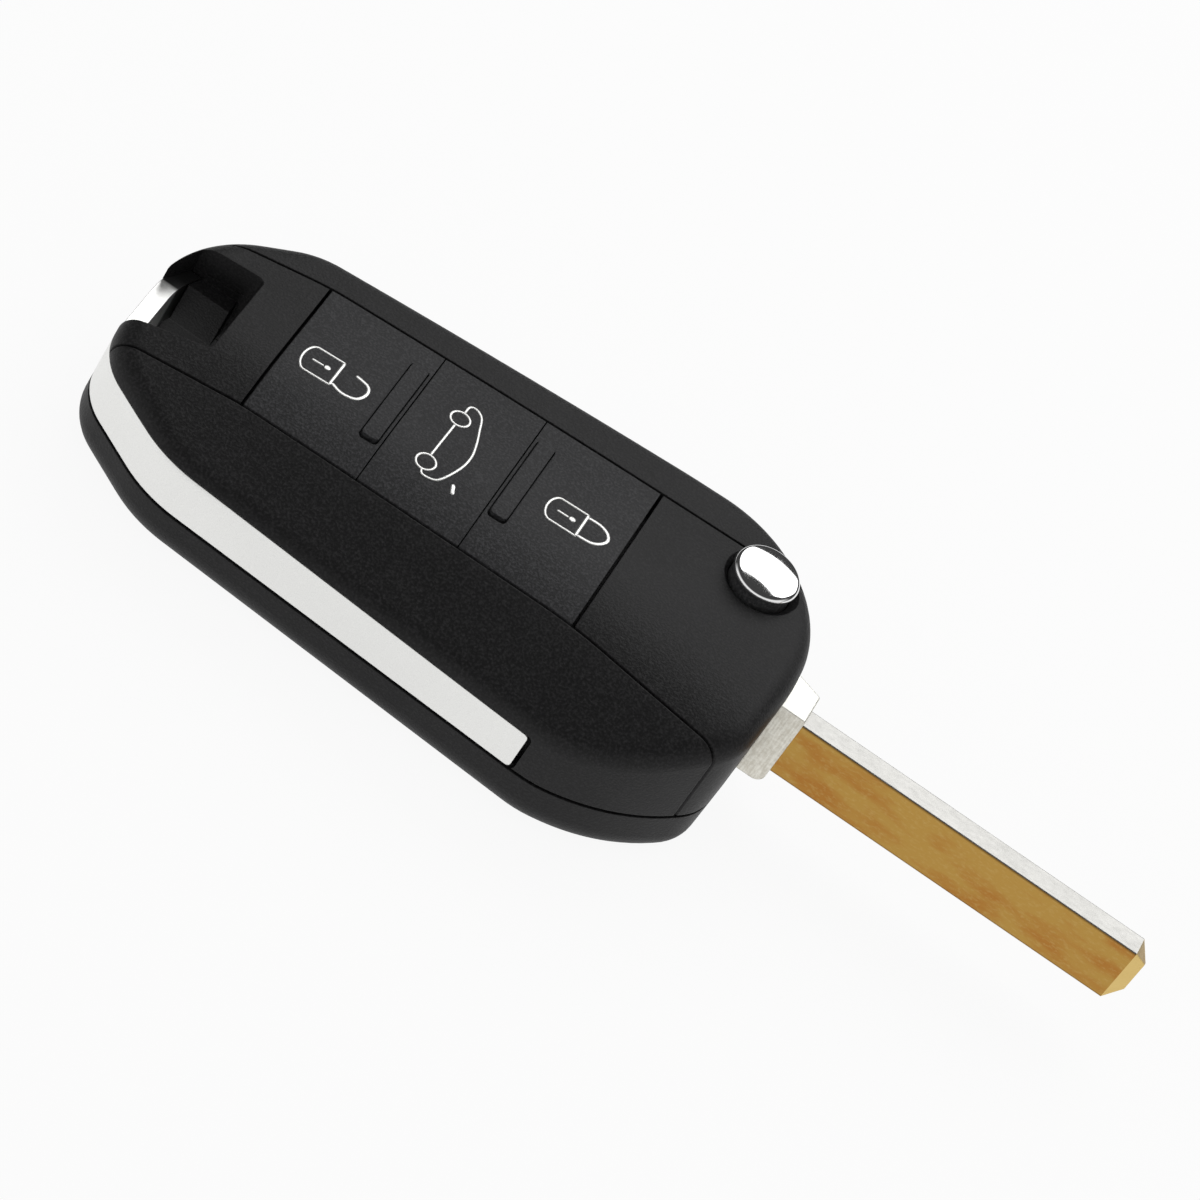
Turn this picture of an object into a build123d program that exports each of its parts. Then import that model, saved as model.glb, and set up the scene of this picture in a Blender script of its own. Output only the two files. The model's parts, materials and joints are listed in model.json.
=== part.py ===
from build123d import *
import math
import os

# Flip key shell: X runs from the key-ring end to the blade tip, Y from the trim side to the
# blade slot, Z up from the flat back. The origin is the centre of the whole outline, on the back.

# Case, in millimetres
case_length = 75.65
case_width = 38.4
ring_end_height = 14.7
mid_height = 18.6
blade_end_height = 19.4
mid_station = 54.15
top_fillet = 2.6
back_fillet = 3.2
case_wall = 1.6
floor_thickness = 1.6
deck_thickness = 1.2
parting_ring = 5.1
parting_mid = 5.7
parting_blade = 6.9
parting_gap = 0.1
reveal_height = 0.4
reveal_depth = 0.7
front_taper_start = 11.75
front_taper_drop = 3.3
front_bend_inset = 16.3
nose_bend_inset = 7.6
nose_bend_drop = 1.75
nose_corner_inset = 0.9
nose_corner_drop = 8.9
end_bend_y = 1.0
rear_corner_inset = 1.1
rear_bend_inset = 20.0
rear_taper_start = 11.35
rear_taper_drop = 1.25
ring_front_y = -8.6
ring_rear_y = 10.8
ring_front_corner = 8.0
ring_rear_corner = 13.0
front_taper_radius = 15.0
front_bend_radius = 12.0
nose_bend_radius = 22.0
nose_corner_radius = 6.0
end_bend_radius = 30.0
rear_taper_radius = 10.0
rear_bend_radius = 40.0
blade_rear_corner = 16.0
steep = 0.7
edge_probe = 0.2

# Crown of the top: a flat, a bent strip along the trim side, and a facet down to the wall
bend_drop = 1.2
bend_ring_y = -3.2
bend_mid_y = -6.4
bend_blade_y = -7.4
bend_soft = 2.0
bend_ease = 0.03
seam_ring_y = -6.2
seam_mid_y = -9.3
seam_blade_y = -12.8
facet_slope_ring = 0.20
facet_slope_mid = 0.46
facet_slope_blade = 0.50
facet_soft = 4.0
rear_flat_y = 15.0
front_flat_y = 5.0
crown_reach = 26.0

# Cover let into the top, from the ring end over the keys to the blade end
seam_gap = 0.3
seat_gap = 0.05
cover_depth = 3.4
cover_end_wall = 3.4
rear_seam_y = 13.1
rear_seam_end_y = 10.4
front_seam_key_y = -7.4
front_seam_end_y = -8.2
cover_front_corner = -12.5
rear_seam_radius = 30.0
front_seam_radius = 60.0
ring_seam_radius = 30.0

# Three keys in a pocket of the cover, each with a plunger down to the rubber pad
key_names = ("unlock_button", "boot_button", "lock_button")
key_lengths = (13.7, 12.0, 13.9)
key_start = 14.5
key_gap = 0.12
key_end_gap = 0.35
key_thickness = 1.8
key_pocket_depth = 2.4
plunger_radius = 2.2
plunger_clearance = 0.3
plunger_y = 3.0
pad_thickness = 0.8
pad_width = 16.0
pad_inset = 1.4
pad_rim = 1.6

# Finger ribs that stand in a groove of the two outer keys
rib_sides = {"unlock_button": 1, "lock_button": -1}
rib_width = 1.9
rib_rise = 0.25
rib_front_y = -3.1
rib_rear_y = 9.8
rib_offset = 0.5
rib_corner = 0.4
groove_depth = 0.6
groove_side = 0.12
groove_end = 0.45

# Key-ring opening and the bright trim that bridges it
opening_depth = 8.95
opening_front_y = -3.6
opening_rear_y = 8.9
opening_mouth_front = -4.8
opening_mouth_rear = 5.2
opening_corner = 0.8
trim_thickness = 1.9
trim_clearance = 0.12
trim_length = 56.45
trim_end_gap = 0.5
trim_end_corner = 0.5
ledge_length = 7.5
ledge_width = 1.9
trim_height_ring = 6.0
trim_height_end = 5.25
trim_wall = 3.1

# Blade and its cast head, which turn together about the pivot. The head's front, rear and
# shoulder are measured from the middle of the blade.
blade_length = 42.0
blade_tip = 1.5
blade_height = 7.66
blade_thickness = 2.7
blade_offset = 6.5
blade_z = 9.3
blade_tang = 8.0
blade_edge = 0.2
tip_ridge = 4.4
tip_flat = 0.5
head_reach = 2.9
head_front = 1.8
head_rear = 2.4
head_shoulder = 3.5
head_bottom = 3.7
head_top = 14.2
head_corner = 1.2
head_edge = 0.25
head_clearance = 0.35
hub_radius = 5.5
hub_floor = 2.4
pivot_inset = 8.575
pivot_depth = 9.2
slot_clearance = 0.35
slot_depth = 4.5
blade_pin_radius = 0.8
blade_pin_inset = 5.0

# Pivot shaft, its washer and the two springs
shaft_radius = 2.0
shaft_clearance = 0.05
shaft_reach = 1.4
shaft_edge = 0.2
washer_radius = 3.2
washer_thickness = 0.4
spring_well_radius = 4.5
torsion_wire = 0.35
torsion_radius = 3.9
torsion_pitch = 1.0
torsion_height = 4.0
spring_seat = 0.2
wire_sides = 6
return_wire = 0.2
return_radius = 1.2
return_pitch = 0.8

# Release button: a bright cap on a black plunger, and under it the cam that locks the head
cap_radius = 3.67
cap_edge_height = 0.95
cap_edge_radius = 0.75
cap_dome = 0.12
cap_underside = 20.1
release_plunger_radius = 3.45
release_travel = 1.4
release_clearance = 0.1
travel_margin = 0.2
dish_radius = 4.6
dish_depth = 1.0
cam_radius = 2.9
cam_clearance = 0.15
cam_sides = 6
flange_radius = 3.3
flange_thickness = 1.0

# Back screws
screw_radius = 0.8
screw_head_radius = 1.6
screw_head_height = 0.8
screw_length = 5.4
screw_clearance = 0.1
ring_screw_inset = 15.75
ring_screw_y = 8.4
blade_screw_inset = 4.0
blade_screw_y = -9.6
boss_radius = 2.6

# Battery contacts
cell_radius = 10.2
cell_depth = 0.6
cell_y = -2.0
contact_width = 3.0
contact_thickness = 0.3
contact_length = 8.0
contact_rise = 1.2

# How far the bodies that cut others reach past them, sideways and above the top, and how much
# of an edge a rounded corner may take
beyond = 4.0
headroom = 8.0
corner_share = 0.98

# Stations worked out from the sizes above
overall_length = case_length + head_reach + blade_length
half_width = case_width / 2
ring_x = -overall_length / 2
blade_end_x = ring_x + case_length
head_x = blade_end_x + head_reach
tip_x = head_x + blade_length
pivot_x = blade_end_x - pivot_inset
pivot_y = half_width - pivot_depth
pivot = (pivot_x, pivot_y)
blade_y = pivot_y - blade_offset
head_front_y = blade_y - head_front
head_rear_y = blade_y + head_rear
head_shoulder_y = blade_y + head_shoulder
mid_x = ring_x + mid_station
front_taper_x = ring_x + front_taper_start
front_taper_y = front_taper_drop - half_width
rear_taper_x = ring_x + rear_taper_start
rear_taper_y = half_width - rear_taper_drop
rear_bend_x = blade_end_x - rear_bend_inset
front_bend_x = blade_end_x - front_bend_inset
nose_bend_x = blade_end_x - nose_bend_inset
nose_bend_y = nose_bend_drop - half_width
nose_corner_x = blade_end_x - nose_corner_inset
nose_corner_y = nose_corner_drop - half_width
rear_corner_x = blade_end_x - rear_corner_inset
above = blade_end_height + headroom
key_start_x = ring_x + key_start
key_end_x = key_start_x + sum(key_lengths)
key_middle_x = (key_start_x + key_end_x) / 2
key_centres = [key_start_x + sum(key_lengths[:index]) + length / 2
               for index, length in enumerate(key_lengths)]
pad_length = key_end_x - key_start_x - 2 * pad_inset
cover_wall_x = blade_end_x - cover_end_wall
trim_end_x = ring_x + trim_length
opening_x = ring_x + opening_depth
folded_tip_x = 2 * pivot_x - tip_x
slot_floor_y = half_width - slot_depth
board_rear_y = slot_floor_y - case_wall
board_end_x = pivot_x - hub_radius - head_clearance - case_wall
bay_roof = head_top + head_clearance
washer_bottom = head_bottom + hub_floor + seat_gap
shaft_top = washer_bottom + washer_thickness + shaft_reach
flange_top = bay_roof - seat_gap
flange_bottom = flange_top - flange_thickness
deck_top = blade_end_height - cover_depth
plunger_bottom = deck_top + release_travel + travel_margin
bore_radius = release_plunger_radius + release_clearance
dish_top = blade_end_height
screw_points = ((ring_x + ring_screw_inset, ring_screw_y),
                (pivot_x - blade_screw_inset, blade_screw_y))
cell_centre = (key_middle_x, cell_y)


def round_corner(plan, x, y, radius):
    """Round the corner nearest to a point, by no more than its two straight edges have room for."""
    corner = plan.vertices().sort_by_distance((x, y, 0))[0]
    nearest = plan.edges().sort_by_distance(corner)[:2]
    first, second = [edge.center() - corner.center() for edge in nearest]
    room = 2 * corner_share * min(first.length, second.length)
    widest = room * math.tan(math.radians(first.get_angle(second) / 2))
    fillet(corner, radius=min(radius, widest))


def crown_section(x, height, bend_y, seam_y, facet_slope):
    """Section of the top at one station, as a face across X."""
    foot = height - bend_drop - facet_slope * (crown_reach + seam_y)
    plane = Plane(origin=(x, 0, 0), x_dir=(0, 1, 0), z_dir=(1, 0, 0))
    with BuildSketch(plane) as section:
        with BuildLine():
            Spline(
                (crown_reach, height),
                (rear_flat_y, height),
                (front_flat_y, height),
                (bend_y + bend_soft, height - bend_soft * bend_ease),
                (seam_y, height - bend_drop),
                (seam_y - facet_soft, height - bend_drop - facet_soft * facet_slope),
                (-crown_reach, foot),
            )
            Polyline(
                (-crown_reach, foot),
                (-crown_reach, -crown_reach),
                (crown_reach, -crown_reach),
                (crown_reach, height),
            )
        make_face()
    return section.sketch


with BuildPart() as crown:
    add(crown_section(ring_x - beyond, ring_end_height, bend_ring_y, seam_ring_y,
                      facet_slope_ring))
    add(crown_section(mid_x, mid_height, bend_mid_y, seam_mid_y, facet_slope_mid))
    add(crown_section(blade_end_x + beyond, blade_end_height, bend_blade_y, seam_blade_y,
                      facet_slope_blade))
    loft()


def lowered_crown(drop):
    """Everything that lies more than drop under the top surface."""
    return crown.part.moved(Location((0, 0, -drop)))


def case_plan(growth=0.0):
    """Plan outline of the case, grown outwards by growth or drawn in where it is negative."""
    with BuildSketch() as plan:
        with BuildLine():
            Polyline(
                (ring_x, ring_front_y),
                (front_taper_x, front_taper_y),
                (front_bend_x, -half_width),
                (nose_bend_x, nose_bend_y),
                (nose_corner_x, nose_corner_y),
                (blade_end_x, end_bend_y),
                (rear_corner_x, half_width),
                (rear_bend_x, half_width),
                (rear_taper_x, rear_taper_y),
                (ring_x, ring_rear_y),
                close=True,
            )
        make_face()
        round_corner(plan, ring_x, ring_front_y, ring_front_corner)
        round_corner(plan, ring_x, ring_rear_y, ring_rear_corner)
        round_corner(plan, front_taper_x, front_taper_y, front_taper_radius)
        round_corner(plan, rear_taper_x, rear_taper_y, rear_taper_radius)
        round_corner(plan, rear_bend_x, half_width, rear_bend_radius)
        round_corner(plan, rear_corner_x, half_width, blade_rear_corner)
        round_corner(plan, nose_corner_x, nose_corner_y, nose_corner_radius)
        round_corner(plan, front_bend_x, -half_width, front_bend_radius)
        round_corner(plan, nose_bend_x, nose_bend_y, nose_bend_radius)
        round_corner(plan, blade_end_x, end_bend_y, end_bend_radius)
        if growth:
            offset(amount=growth)
    return plan.sketch


probe_plan = case_plan(-edge_probe)


def on_case_wall(edge):
    """Whether an edge runs along the top of the case wall, all round."""
    middle = edge.position_at(0.5)
    rises = abs(edge.tangent_at(0.5).Z) > steep
    low = edge.bounding_box().min.Z < parting_blade
    inside = any(face.is_inside(Vector(middle.X, middle.Y, 0)) for face in probe_plan.faces())
    return not (rises or low or inside)


with BuildPart() as outer:
    add(case_plan())
    extrude(amount=above)
    add(crown.part, mode=Mode.INTERSECT)
    fillet(outer.edges().filter_by(on_case_wall), radius=top_fillet)
    fillet(outer.faces().sort_by(Axis.Z)[0].edges(), radius=back_fillet)


def below_parting(rise=0.0):
    """Block that fills everything under the parting line, raised by rise."""
    with BuildPart() as body:
        with BuildSketch(Plane.XZ.offset(-crown_reach)):
            with BuildLine():
                Polyline(
                    (ring_x - beyond, parting_ring + rise),
                    (trim_end_x, parting_mid + rise),
                    (blade_end_x + beyond, parting_blade + rise),
                    (blade_end_x + beyond, -beyond),
                    (ring_x - beyond, -beyond),
                    close=True,
                )
            make_face()
        extrude(amount=2 * crown_reach)
    return body.part


def reveal_groove():
    """Narrow groove in the wall all round, just above the parting line."""
    with BuildPart() as body:
        add(below_parting(reveal_height))
        add(case_plan(-reveal_depth))
        extrude(amount=above, mode=Mode.SUBTRACT)
    return body.part


def cover_plan(inset=0.0):
    """Band of the top that the cover fills, between the two long seams."""
    with BuildSketch() as plan:
        with BuildLine():
            Polyline(
                (ring_x - beyond, rear_seam_end_y),
                (key_start_x, rear_seam_y),
                (blade_end_x + beyond, rear_seam_y),
                (blade_end_x + beyond, cover_front_corner),
                (cover_wall_x, cover_front_corner),
                (key_end_x, seam_mid_y),
                (key_start_x, front_seam_key_y),
                (ring_x - beyond, front_seam_end_y),
                close=True,
            )
        make_face()
        round_corner(plan, key_start_x, rear_seam_y, rear_seam_radius)
        round_corner(plan, key_start_x, front_seam_key_y, ring_seam_radius)
        round_corner(plan, key_end_x, seam_mid_y, front_seam_radius)
        if inset:
            offset(amount=-inset)
    return plan.sketch


def head_plan():
    """Plan of the blade head as it stands open: a hub round the pivot with an arm to the blade."""
    with BuildSketch() as plan:
        with Locations(pivot):
            Circle(hub_radius)
        with BuildLine():
            Polyline(
                (pivot_x, head_front_y),
                (head_x, head_front_y),
                (head_x, head_rear_y),
                (blade_end_x, head_shoulder_y),
                (pivot_x + hub_radius, pivot_y),
                pivot,
                close=True,
            )
        make_face()
    return plan.sketch


def head_bay():
    """Room that the head needs in the case from open to folded."""
    arm_y = 2 * pivot_y - head_shoulder_y - head_clearance
    folded_x = 2 * pivot_x - head_x - head_clearance
    shoulder_x = 2 * pivot_x - blade_end_x - head_clearance
    with BuildPart() as body:
        with BuildSketch(Plane.XY.offset(head_bottom - head_clearance)):
            with Locations(pivot):
                Circle(hub_radius + head_clearance)
            with BuildLine():
                Polyline(
                    (pivot_x - head_clearance, head_front_y - head_clearance),
                    (head_x + beyond, head_front_y - head_clearance),
                    (head_x + beyond, crown_reach),
                    (folded_x, crown_reach),
                    (folded_x, arm_y),
                    (shoulder_x, arm_y),
                    (pivot_x - hub_radius - head_clearance, pivot_y),
                    (pivot_x - head_clearance, pivot_y),
                    close=True,
                )
            make_face()
        extrude(amount=bay_roof - head_bottom + head_clearance)
    return body.part


def blade_slot():
    """Groove along the rear of the case that the folded blade lies in."""
    with BuildPart() as body:
        with BuildSketch(Plane.XY.offset(blade_z - blade_height / 2 - slot_clearance)):
            with BuildLine():
                Polyline(
                    (folded_tip_x - slot_clearance, slot_floor_y),
                    (pivot_x, slot_floor_y),
                    (pivot_x, crown_reach),
                    (folded_tip_x - slot_clearance, crown_reach),
                    close=True,
                )
            make_face()
        extrude(amount=blade_height + 2 * slot_clearance)
    return body.part


def ring_opening():
    """Gap at the ring end that a key ring passes through."""
    with BuildPart() as body:
        with BuildSketch(Plane.XY.offset(-beyond)) as plan:
            with BuildLine():
                Polyline(
                    (ring_x - beyond, opening_mouth_front),
                    (ring_x + trim_thickness, opening_mouth_front),
                    (opening_x, opening_front_y),
                    (opening_x, opening_rear_y),
                    (ring_x + trim_thickness, opening_rear_y),
                    (ring_x, opening_mouth_rear),
                    (ring_x - beyond, opening_mouth_rear),
                    close=True,
                )
            make_face()
            round_corner(plan, opening_x, opening_front_y, opening_corner)
            round_corner(plan, opening_x, opening_rear_y, opening_corner)
        extrude(amount=above + beyond)
    return body.part


def trim_band(slack, end_slack):
    """Bright trim: a band along the front wall and on across the key-ring opening."""
    end_x = trim_end_x + end_slack
    end_foot = parting_mid + reveal_height - slack
    end_top = parting_mid + trim_height_end + slack
    bar_rear_y = opening_rear_y + slack
    with BuildPart() as body:
        with BuildSketch():
            add(case_plan())
            add(case_plan(-trim_thickness - slack), mode=Mode.SUBTRACT)
            with BuildSketch(mode=Mode.INTERSECT):
                with BuildLine():
                    Polyline(
                        (ring_x - beyond, bar_rear_y),
                        (opening_x, bar_rear_y),
                        (opening_x, 0),
                        (end_x, 0),
                        (end_x, -crown_reach),
                        (ring_x - beyond, -crown_reach),
                        close=True,
                    )
                make_face()
        extrude(amount=above)
        with BuildSketch(Plane.XZ.offset(-crown_reach)) as side:
            with BuildLine():
                Polyline(
                    (ring_x - beyond, parting_ring + reveal_height - slack),
                    (end_x, end_foot),
                    (end_x, end_top),
                    (ring_x - beyond, parting_ring + trim_height_ring + slack),
                    close=True,
                )
            make_face()
            round_corner(side, end_x, end_foot, trim_end_corner + slack)
            round_corner(side, end_x, end_top, trim_end_corner + slack)
        extrude(amount=2 * crown_reach, mode=Mode.INTERSECT)
    return body.part


def trim_pocket():
    """Pocket in the wall that the trim sits in, with a gap left at its end."""
    return trim_band(trim_clearance, trim_end_gap)


def opening_ledge():
    """Ledge low in the rear side of the key-ring opening, as high as the trim beside it."""
    with BuildPart() as body:
        with BuildSketch(Plane.XY.offset(parting_mid)):
            with BuildLine():
                Polyline(
                    (ring_x + trim_thickness, opening_rear_y - ledge_width),
                    (ring_x + ledge_length, opening_rear_y - ledge_width),
                    (ring_x + ledge_length, opening_rear_y + ledge_width),
                    (ring_x + trim_thickness, opening_rear_y + ledge_width),
                    close=True,
                )
            make_face()
        extrude(amount=parting_ring + trim_height_ring - parting_mid)
    return body.part


def cover_room(inset, drop):
    """Space of the cover: as deep as drop under the keys, and down to the parting at the end."""
    with BuildPart() as body:
        add(cover_plan(inset))
        extrude(amount=above)
        with BuildSketch(Plane.XY.offset(-beyond)):
            with BuildLine():
                Polyline(
                    (ring_x - 2 * beyond, -crown_reach),
                    (cover_wall_x + inset, -crown_reach),
                    (cover_wall_x + inset, crown_reach),
                    (ring_x - 2 * beyond, crown_reach),
                    close=True,
                )
            make_face()
        under = extrude(amount=above, mode=Mode.PRIVATE)
        add(under & lowered_crown(drop), mode=Mode.SUBTRACT)
    return body.part


def board_room(bottom):
    """Hollow for the circuit board between the opening and the head, clear of the screw boss."""
    with BuildPart() as body:
        with BuildSketch(Plane.XY.offset(bottom)):
            add(case_plan(-trim_wall))
            with BuildSketch(mode=Mode.INTERSECT):
                with BuildLine():
                    Polyline(
                        (opening_x + case_wall, -crown_reach),
                        (board_end_x, -crown_reach),
                        (board_end_x, board_rear_y),
                        (opening_x + case_wall, board_rear_y),
                        close=True,
                    )
                make_face()
            with Locations(*screw_points):
                Circle(boss_radius, mode=Mode.SUBTRACT)
        extrude(amount=above)
    return body.part


def cylinder(radius, bottom, top, centre):
    """Upright cylinder about a point of the plan."""
    with BuildPart() as body:
        with BuildSketch(Plane.XY.offset(bottom)):
            with Locations(centre):
                Circle(radius)
        extrude(amount=top - bottom)
    return body.part


def release_bore(bottom):
    """Bore for the plunger from bottom up, and the shallow dish round its mouth."""
    with BuildPart() as body:
        add(cylinder(bore_radius, bottom, above, pivot))
        with Locations((pivot_x, pivot_y, dish_top - dish_depth)):
            Cone(bore_radius, dish_radius, dish_depth,
                 align=(Align.CENTER, Align.CENTER, Align.MIN))
    return body.part


def coil(radius, pitch, height, wire, bottom):
    """Coil spring round the pivot axis."""
    with BuildPart() as body:
        with BuildLine():
            path = Helix(pitch, height, radius, center=(pivot_x, pivot_y, bottom))
        with BuildSketch(Plane(origin=path @ 0, z_dir=path % 0)):
            RegularPolygon(wire, side_count=wire_sides)
        sweep(path=path, is_frenet=True)
    return body.part


def pin_bar(front_y, rear_y):
    """Round pin across the head and the blade's tang."""
    with BuildPart() as body:
        with BuildSketch(Plane.XZ.offset(-rear_y)):
            with Locations((head_x - blade_pin_inset, blade_z)):
                Circle(blade_pin_radius)
        extrude(amount=rear_y - front_y)
    return body.part


def pad_plan(growth):
    """Plan outline of the rubber pad under the keys, grown outwards by growth."""
    with BuildSketch() as plan:
        with Locations((key_middle_x, plunger_y)):
            Rectangle(pad_length + 2 * growth, pad_width + 2 * growth)
    return plan.sketch


with BuildPart() as upper_case:
    add(outer.part)
    add(below_parting(parting_gap), mode=Mode.SUBTRACT)
    add(reveal_groove(), mode=Mode.SUBTRACT)
    add(cover_room(0.0, cover_depth), mode=Mode.SUBTRACT)
    add(head_bay(), mode=Mode.SUBTRACT)
    add(blade_slot(), mode=Mode.SUBTRACT)
    add(ring_opening(), mode=Mode.SUBTRACT)
    add(opening_ledge())
    add(trim_pocket(), mode=Mode.SUBTRACT)
    add(board_room(0.0) & lowered_crown(cover_depth + deck_thickness), mode=Mode.SUBTRACT)
    add(pad_plan(-pad_rim))
    extrude(amount=above, mode=Mode.SUBTRACT)
    add(pad_plan(seam_gap))
    pad_bed = extrude(amount=above, mode=Mode.PRIVATE)
    add(pad_bed - lowered_crown(cover_depth + pad_thickness + seam_gap), mode=Mode.SUBTRACT)
    add(release_bore(deck_top), mode=Mode.SUBTRACT)
    with BuildSketch(Plane.XY.offset(bay_roof)):
        with Locations(pivot):
            RegularPolygon(cam_radius + cam_clearance, side_count=cam_sides)
    extrude(amount=plunger_bottom - bay_roof, mode=Mode.SUBTRACT)
    for point in screw_points:
        add(cylinder(screw_radius, parting_ring, screw_length + screw_clearance, point),
            mode=Mode.SUBTRACT)
upper_case.part.label = "upper_case"

with BuildPart() as lower_case:
    add(outer.part & below_parting())
    add(board_room(floor_thickness), mode=Mode.SUBTRACT)
    add(cylinder(cell_radius, floor_thickness - cell_depth, floor_thickness, cell_centre),
        mode=Mode.SUBTRACT)
    add(head_bay(), mode=Mode.SUBTRACT)
    add(blade_slot(), mode=Mode.SUBTRACT)
    add(ring_opening(), mode=Mode.SUBTRACT)
    add(trim_pocket(), mode=Mode.SUBTRACT)
    add(cylinder(shaft_radius, floor_thickness, above, pivot), mode=Mode.SUBTRACT)
    for point in screw_points:
        add(cylinder(screw_radius + screw_clearance, 0, above, point), mode=Mode.SUBTRACT)
        add(cylinder(screw_head_radius + screw_clearance, 0,
                     screw_head_height + screw_clearance, point), mode=Mode.SUBTRACT)
lower_case.part.label = "lower_case"

with BuildPart() as top_cover:
    add(outer.part & cover_room(seam_gap, cover_depth - seat_gap))
    add(below_parting(parting_gap), mode=Mode.SUBTRACT)
    add(reveal_groove(), mode=Mode.SUBTRACT)
    add(head_bay(), mode=Mode.SUBTRACT)
    add(ring_opening(), mode=Mode.SUBTRACT)
    add(trim_pocket(), mode=Mode.SUBTRACT)
    with BuildSketch():
        with Locations((key_middle_x, 0)):
            Rectangle(key_end_x - key_start_x, 2 * crown_reach)
    key_window = extrude(amount=above, mode=Mode.PRIVATE)
    add(key_window - lowered_crown(key_pocket_depth), mode=Mode.SUBTRACT)
    for centre_x in key_centres:
        add(cylinder(plunger_radius + plunger_clearance, 0, above, (centre_x, plunger_y)),
            mode=Mode.SUBTRACT)
    add(release_bore(0), mode=Mode.SUBTRACT)
top_cover.part.label = "top_cover"


def key_end_margins(index):
    """Gap at the ring side and at the blade side of one key."""
    before = key_end_gap if index == 0 else key_gap / 2
    after = key_end_gap if index == len(key_lengths) - 1 else key_gap / 2
    return before, after


keys = []
for index, name in enumerate(key_names):
    before, after = key_end_margins(index)
    centre_x = key_centres[index]
    low_x = centre_x - key_lengths[index] / 2
    high_x = centre_x + key_lengths[index] / 2
    with BuildPart() as key:
        add(cover_plan(seam_gap))
        extrude(amount=above)
        with BuildSketch():
            with Locations(((low_x + before + high_x - after) / 2, 0)):
                Rectangle(high_x - after - low_x - before, 2 * crown_reach)
        extrude(amount=above, mode=Mode.INTERSECT)
        add(crown.part, mode=Mode.INTERSECT)
        add(lowered_crown(key_thickness), mode=Mode.SUBTRACT)
        plunger = cylinder(plunger_radius, 0, above, (centre_x, plunger_y))
        add((plunger & lowered_crown(key_thickness)) - lowered_crown(cover_depth))
        if name in rib_sides:
            side = rib_sides[name]
            edge_x = high_x if side > 0 else low_x
            rib_x = edge_x - side * (rib_offset + rib_width / 2)
            with BuildSketch():
                with Locations((rib_x, (rib_front_y - groove_end + rib_rear_y + groove_side) / 2)):
                    RectangleRounded(rib_width + 2 * groove_side,
                                     rib_rear_y - rib_front_y + groove_end + groove_side,
                                     rib_corner + groove_side)
            groove = extrude(amount=above, mode=Mode.PRIVATE)
            add(groove - lowered_crown(groove_depth), mode=Mode.SUBTRACT)
            with BuildSketch():
                with Locations((rib_x, (rib_front_y + rib_rear_y) / 2)):
                    RectangleRounded(rib_width, rib_rear_y - rib_front_y, rib_corner)
            rib = extrude(amount=above, mode=Mode.PRIVATE)
            add((rib & lowered_crown(-rib_rise)) - lowered_crown(groove_depth))
    key.part.label = name
    keys.append(key.part)

with BuildPart() as button_pad:
    add(pad_plan(0.0))
    extrude(amount=above)
    add(lowered_crown(cover_depth), mode=Mode.INTERSECT)
    add(lowered_crown(cover_depth + pad_thickness), mode=Mode.SUBTRACT)
button_pad.part.label = "button_pad"

with BuildPart() as side_trim:
    add(trim_band(0.0, 0.0))
    add(outer.part, mode=Mode.INTERSECT)
side_trim.part.label = "side_trim"

with BuildPart() as release_button:
    cap_foot = (pivot_x, cap_underside)
    cap_edge = (pivot_x + cap_radius, cap_underside + cap_edge_height)
    cap_top = (pivot_x, cap_underside + cap_edge_height + cap_dome)
    dome_radius = (cap_radius ** 2 + cap_dome ** 2) / (2 * cap_dome)
    with BuildSketch(Plane.XZ.offset(-pivot_y)) as cap_section:
        with BuildLine():
            Polyline(cap_foot, (pivot_x + cap_radius, cap_underside), cap_edge)
            RadiusArc(cap_edge, cap_top, -dome_radius)
            Line(cap_top, cap_foot)
        make_face()
        round_corner(cap_section, *cap_edge, cap_edge_radius)
    revolve(axis=Axis((pivot_x, pivot_y, 0), (0, 0, 1)))
release_button.part.label = "release_button"

with BuildPart() as release_plunger:
    add(cylinder(release_plunger_radius, plunger_bottom, cap_underside, pivot))
release_plunger.part.label = "release_plunger"

with BuildPart() as lock_cam:
    with BuildSketch(Plane.XY.offset(flange_bottom)):
        with Locations(pivot):
            RegularPolygon(cam_radius, side_count=cam_sides)
    extrude(amount=plunger_bottom - flange_bottom)
    add(cylinder(flange_radius, flange_bottom, flange_top, pivot))
lock_cam.part.label = "lock_cam"

with BuildPart() as flip_head:
    with BuildSketch(Plane.XY.offset(head_bottom)):
        add(head_plan())
    extrude(amount=head_top - head_bottom)
    for place, radius in ((0, head_corner), (-1, head_edge)):
        end_face = flip_head.faces().sort_by(Axis.X)[-1]
        fillet(end_face.edges().filter_by(Axis.Y).sort_by(Axis.Z)[place], radius=radius)
    add(cylinder(spring_well_radius, head_bottom + hub_floor, above, pivot),
        mode=Mode.SUBTRACT)
    add(cylinder(shaft_radius + shaft_clearance, 0, above, pivot), mode=Mode.SUBTRACT)
    with BuildSketch(Plane.YZ.offset(head_x - blade_tang)):
        with Locations((blade_y, blade_z)):
            Rectangle(blade_thickness, blade_height)
    extrude(amount=blade_tang, mode=Mode.SUBTRACT)
    add(pin_bar(head_front_y - beyond, head_shoulder_y + beyond), mode=Mode.SUBTRACT)
flip_head.part.label = "flip_head"

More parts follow.
